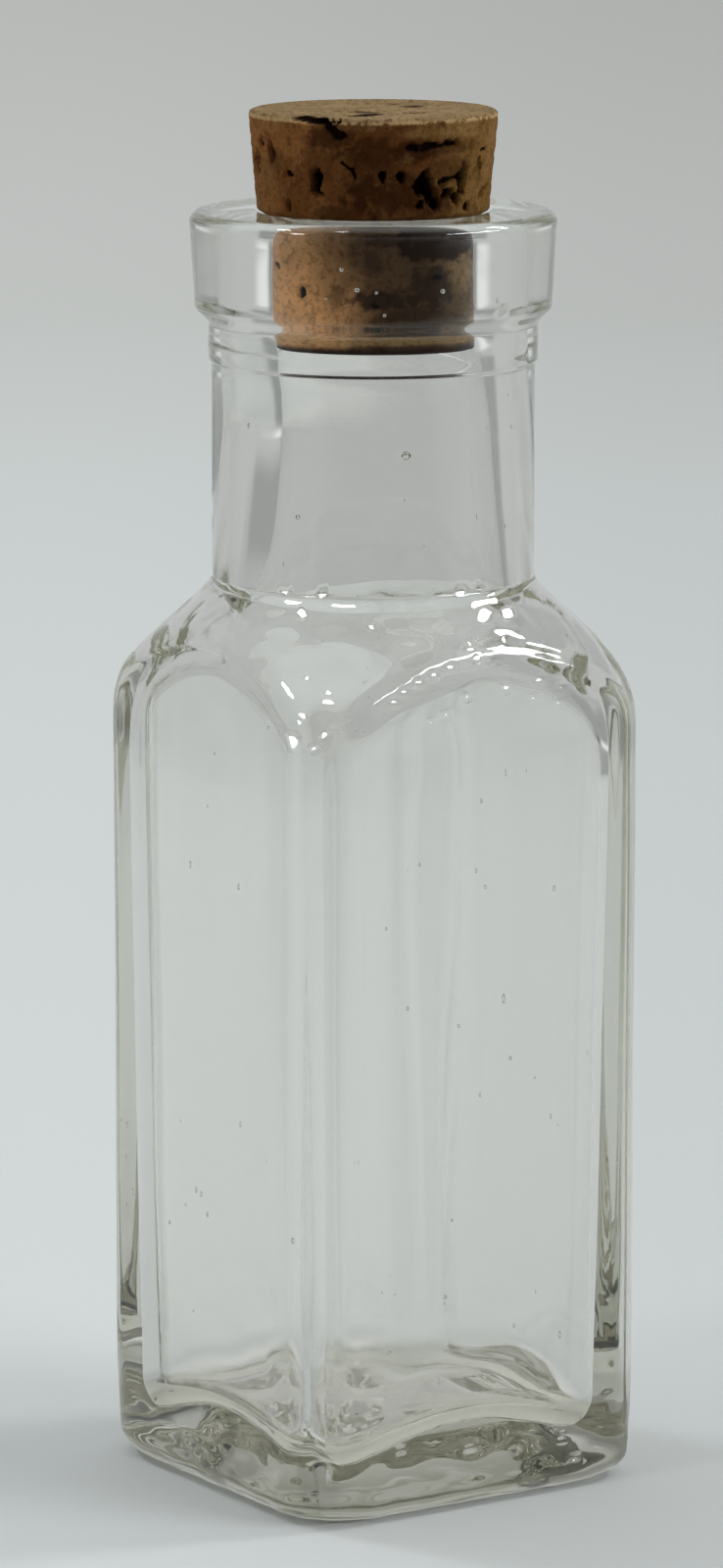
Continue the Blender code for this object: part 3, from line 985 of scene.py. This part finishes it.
def corkFinish():
    finish, bench = newFinish("naturalCork")
    place = bench.node("TexCoord", out=3)
    x, y, z = bench.parts(place)
    side = rightOfSight(x, y) / cork["halfWidth"]   # -1 at one side of the cork, 1 at the other
    soft, blotch, grain = (
        bench.node("TexNoise", {}, {"Vector": place, **corkNoise[name]})
        for name in ("soft", "blotch", "grain"))
    cells = bench.node("TexVoronoi", {"feature": "DISTANCE_TO_EDGE"}, {
        "Vector": place, **corkNoise["cells"]})
    hollow, damp, smudge, chip = (
        bench.node("Attribute", {"attribute_name": name}, out=2)
        for name in ("hollow", "tight", "smudge", "chip"))
    colour = {name: (*value, 1) for name, value in cork.items() if isinstance(value, tuple)}
    shifted = side + (soft - 0.5) * 0.9
    bark = (soft + (blotch - 0.5) * 0.6).eased(0.38, 0.62).tint(colour["brown"], colour["russet"])
    # Across the cork as the camera sees it: the tan towards the right is partly its own colour and partly
    # painted light, and the darkening of its middle, which faces the camera, is painted shade
    bark = shifted.eased(0.15, 0.75).tint(bark, colour["tan"])
    shade = shifted.eased(-0.55, -0.15) * shifted.eased(0.35, 0.85, 1, 0)
    bark = (shade * 0.55).tint(bark, colour["dark"])
    bark = (chip * blotch.eased(0.62, 0.48)).tint(bark, colour["chip"])
    # Dark patches: partly the cork's own dark and partly painted shade under its cracks and slots and in its
    # middle
    bark = smudge.tint(bark, colour["dark"])
    bark = (blotch.eased(0.56, 0.70) * 0.55).tint(bark, colour["dark"])
    bark = (blotch.eased(0.44, 0.30) * 0.35).tint(bark, colour["tan"])
    # The cork inside the mouth, across the camera's view: its bright russet left and paler far right are
    # partly its own colour and partly painted light, and the dark from its middle to the right is painted
    # shade
    fresh = shifted.eased(-0.1, 0.5).tint(colour["freshRusset"], colour["freshTan"])
    fresh = (shifted.eased(-0.70, 0.05) * 0.90).tint(fresh, colour["freshDark"])
    fresh = (shifted.eased(0.45, 0.85) * 0.45).tint(fresh, colour["freshTan"])
    fresh = (blotch.eased(0.54, 0.70) * 0.5).tint(fresh, colour["freshDark"])
    fresh = damp.tint(fresh, colour["freshDark"])
    foot = z - (corkLow.z + (blotch - 0.5) * corkEdges["footWander"])
    # A paler band a little above the foot of the cork: painted highlight
    band = foot.eased(*corkEdges["bandStart"]) * foot.eased(*corkEdges["bandEnd"])
    fresh = (band * 0.40).tint(fresh, colour["freshTan"])
    # Darker at the foot of the cork: painted shade
    fresh = foot.eased(*corkEdges["footDark"]).tint(fresh, colour["dark"])
    bark = (z - glassHigh.z).eased(*corkEdges["inGlass"]).tint(bark, fresh)
    top = (soft * 0.4 + blotch * 0.6).eased(0.38, 0.60).tint(colour["topPale"], colour["topTan"])
    top = (grain.eased(0.52, 0.66) * 0.5).tint(top, colour["topDark"])
    height = z - corkHigh.z
    onTop = (height + (blotch - 0.5) * corkEdges["topWander"]).eased(*corkEdges["top"])
    # Paler along the top edge of the side: painted highlight
    rim = (height + (blotch - 0.5) * corkEdges["rimWander"]).eased(*corkEdges["rim"])
    surfaceColour = (rim * blotch.eased(0.60, 0.50)).tint(bark, colour["rim"])
    surfaceColour = onTop.tint(surfaceColour, top)
    surfaceColour = (grain.eased(0.50, 0.62) * 0.35).tint(surfaceColour, colour["dark"])
    # Near black inside the hollows: the dark of the cork's pores, and painted shade in its slots and cracks
    surfaceColour = hollow.eased(0.25, 0.75).tint(surfaceColour, colour["poreAndShade"])
    bump = bench.node("Bump", {}, {
        "Strength": 0.7, "Distance": corkEdges["relief"],
        "Height": blotch * 0.8 + grain * 0.4 + cells.eased(0, 0.12) * 0.3})
    surface = bench.node("BsdfPrincipled", {}, {
        "Base Color": surfaceColour, "Roughness": 0.85, "Specular IOR Level": 0.04, "Normal": bump})
    closeFinish(bench, surface)
    return finish


makeCork()
print("cork made")


# Floor and light

studio = {
    "floorReach": 4.0,
    "floorDrop": 0.02 * mm,
    # The floor's colour changes with distance: painted light and shade for how the light falls off across it
    "floorTones": [  # distance from the bottle in metres, colour
        (0.00, (0.630, 0.662, 0.665)),
        (0.20, (0.625, 0.655, 0.655)),
        (0.35, (0.612, 0.642, 0.638)),
        (0.50, (0.594, 0.605, 0.590)),
        (0.80, (0.662, 0.662, 0.646)),
        (1.20, (0.756, 0.747, 0.729)),
    ],
    "toneReach": 1.2,
    "shade": (0.035, 0.034, 0.032),   # what the glass sees of the floor on its sides and before it
    "under": (0.530, 0.535, 0.515),   # glow of the floor under the bottle, seen through its base
    "paintedFarLight": (0.90, 0.90, 0.89),       # what the glass sees of the floor far away
    "paintedFarLightShare": 0.3,
    "wedge": 0.10,                    # how much darker the floor is on the right
    "world": (0.965, 1.0, 1.0),
    "level": 0.575,                   # strengths of the world: all round,
    "band": 0.33,                     # added at the level of the eye on both sides,
    "back": 0.59,                     # behind the bottle,
    "right": 0.20,                    # taken off there on the right,
    "flank": 0.22,                    # low on both sides,
    "beside": 0.36,                   # higher on both sides,
    "front": 0.04,                    # on the camera's side,
    "zenith": 0.88,                   # and overhead
    "aim": 30 * mm,                   # the height that the lamps face
    "bounces": 40,
}


# Over which distances in metres each change of the floor comes in
floorEdges = {
    "near": (-0.05, -0.20),        # from the bottle towards the camera
    "aside": (0.08, 0.25),         # away from the line of sight
    "wedge": (-0.05, 0.05),        # from left to right, as a share of the distance from the camera
    "least": 0.01,                 # the rest are distances from the bottle
    "sides": (0.15, 0.22),
    "shadeEnd": (0.50, 0.90),
    "paintedFarLight": (0.30, 0.50),
    "under": (7 * mm, 16 * mm),
    "mirrored": (0.35, 0.75),      # glass and gloss see the floor fade out here,
    "end": (1.33, 1.60),           # and the camera here
}


def floorFinish():
    finish, bench = newFinish("paleCloth")
    black = (0, 0, 0, 1)
    place = bench.node("TexCoord", out=3)
    distance = bench.node("VectorMath", {"operation": "LENGTH"}, {0: place}, out=1)
    stops = [(reach / studio["toneReach"], colour) for reach, colour in studio["floorTones"]]
    tone = bench.node("ValToRGB", {"stops": stops}, {0: distance / studio["toneReach"]})
    x, y = bench.parts(place)[:2]
    mirrored = bench.node("LightPath", out="Is Glossy Ray")
    bounced = mirrored.larger(bench.node("LightPath", out="Is Transmission Ray"))
    toRight = rightOfSight(x, y)
    aside = toRight.larger(0 - toRight)
    nearer = alongSight(x, y).eased(*floorEdges["near"])
    sideways = (aside / distance.larger(floorEdges["least"])).eased(0.78, 0.88)
    sideways = sideways * distance.eased(*floorEdges["sides"])
    shade = (sideways * 0.55).larger(aside.eased(*floorEdges["aside"]) * 0.13)
    shade = shade * distance.eased(*floorEdges["shadeEnd"], 1, 0)
    deep = bench.node("LightPath", out="Transmission Depth").eased(2.5, 3.5)
    shade = (bounced * (1 - deep) * shade.larger(nearer * 0.9)).larger(mirrored * nearer * 0.94)
    # Darker towards the right as the camera sees it: painted shade
    wedge = (toRight / (distance + shot["distance"])).eased(*floorEdges["wedge"])
    tone = (wedge * studio["wedge"]).tint(tone, black)
    # Painted light: the far floor, as the glass sees it, is made paler
    paintedFarLight = bounced * distance.eased(*floorEdges["paintedFarLight"]) * studio["paintedFarLightShare"]
    tone = paintedFarLight.tint(tone, (*studio["paintedFarLight"], 1))
    tone = shade.tint(tone, (*studio["shade"], 1))
    under = bounced * distance.eased(*floorEdges["under"], 1, 0)
    glow = under.tint(black, (*studio["under"], 1))
    shown = 1 - bounced * distance.eased(*floorEdges["mirrored"])
    shown = shown * distance.eased(*floorEdges["end"], 1, 0)
    surface = bench.node("BsdfPrincipled", {}, {
        "Base Color": tone, "Roughness": 0.9, "Specular IOR Level": 0.1, "Alpha": shown,
        "Emission Color": glow, "Emission Strength": 1})
    closeFinish(bench, surface)
    return finish


def makeFloor():
    reach = studio["floorReach"]
    corners = [(-reach, -reach, 0), (reach, -reach, 0), (reach, reach, 0), (-reach, reach, 0)]
    mesh = newMesh("floor", corners, [(0, 1, 2, 3)])
    mesh.materials.append(floorFinish())
    floor = newObject("floor", mesh)
    floor.location.z = -studio["floorDrop"]


# The world by direction, so that the glass shows dark and light where the room in the photograph has them.
# Glass and gloss see the dark parts; after a few walls of glass they fade
def makeWorld():
    world = bpy.data.worlds.new("studio")
    bpy.context.scene.world = world
    world.use_nodes = True
    world.node_tree.nodes.clear()
    bench = Wire(world.node_tree)
    direction = bench.node("TexCoord", out=0)
    east, north, up = bench.parts(direction)
    behind, toRight = alongSight(east, north), rightOfSight(east, north)
    aside = toRight.larger(0 - toRight)
    leftward = toRight.eased(-0.6, -0.3, 1, 0)
    rightward = toRight.eased(0.15, 0.35) * up.eased(0.10, 0.25)
    dark = behind.eased(-0.60, -0.25, 1, 0)
    sharp = up.eased(-0.026, 0.014)
    beside = behind.eased(-0.35, -0.10) * behind.eased(0.60, 0.78, 1, 0) * up.eased(0.25, 0.50, 1, 0)
    beside = beside * (sharp + leftward * (up.eased(-0.02, 0.08) - sharp))
    shallow = bench.node("LightPath", out="Transmission Depth").eased(3.5, 2.5)
    shallow = shallow * (1 - bench.node("LightPath", out="Is Camera Ray"))
    flank = behind.eased(0.40, 0.26) * up.eased(-0.12, -0.05) * up.eased(0.10, 0.28, 1, 0)
    band = aside.eased(0.74, 0.88) * up.eased(-0.09, -0.04) * up.eased(-0.036, -0.018, 1, 0)
    sky = studio["level"] + band * studio["band"]
    sky = sky + behind.eased(0.30, 0.95) * up.eased(0.03, 0.30) * (studio["back"] - sky)
    sky = sky * (1 - rightward * studio["right"])
    sky = sky + flank * shallow * (studio["flank"] - sky)
    sky = sky + beside * shallow * (studio["beside"] - sky)
    sky = sky + dark * shallow * (studio["front"] - sky)
    strength = sky + up.eased(0.70, 0.92) * (studio["zenith"] - sky)
    glow = bench.node("Background", {}, {"Color": (*studio["world"], 1), "Strength": strength})
    bench.node("OutputWorld", {}, {"Surface": glow})


def makeLamps():
    for lamp in lamps:
        data = bpy.data.lights.new(lamp["name"], "AREA")
        data.shape = "ELLIPSE"
        data.size, data.size_y = lamp["size"]
        data.energy = lamp["power"]
        data.color = lamp["colour"]
        item = newObject(lamp["name"], data)
        item.visible_camera = False
        item.visible_glossy = lamp["glints"]
        item.visible_diffuse = lamp.get("diffuse", True)
        item.visible_transmission = False
        out = (Vector(lamp["place"]) - Vector((0, 0, studio["aim"]))).normalized()
        along = Vector(lamp.get("along", (-out.y, out.x, 0)))
        along = (along - out * along.dot(out)).normalized()
        turned = Matrix((along, out.cross(along), out)).transposed().to_4x4()
        item.matrix_world = Matrix.Translation(lamp["place"]) @ turned


makeFloor()
makeWorld()
makeLamps()
bpy.context.scene.view_settings.view_transform = "Standard"
for limit in ("max_bounces", "transmission_bounces", "glossy_bounces"):
    setattr(bpy.context.scene.cycles, limit, studio["bounces"])
print("stage lit")
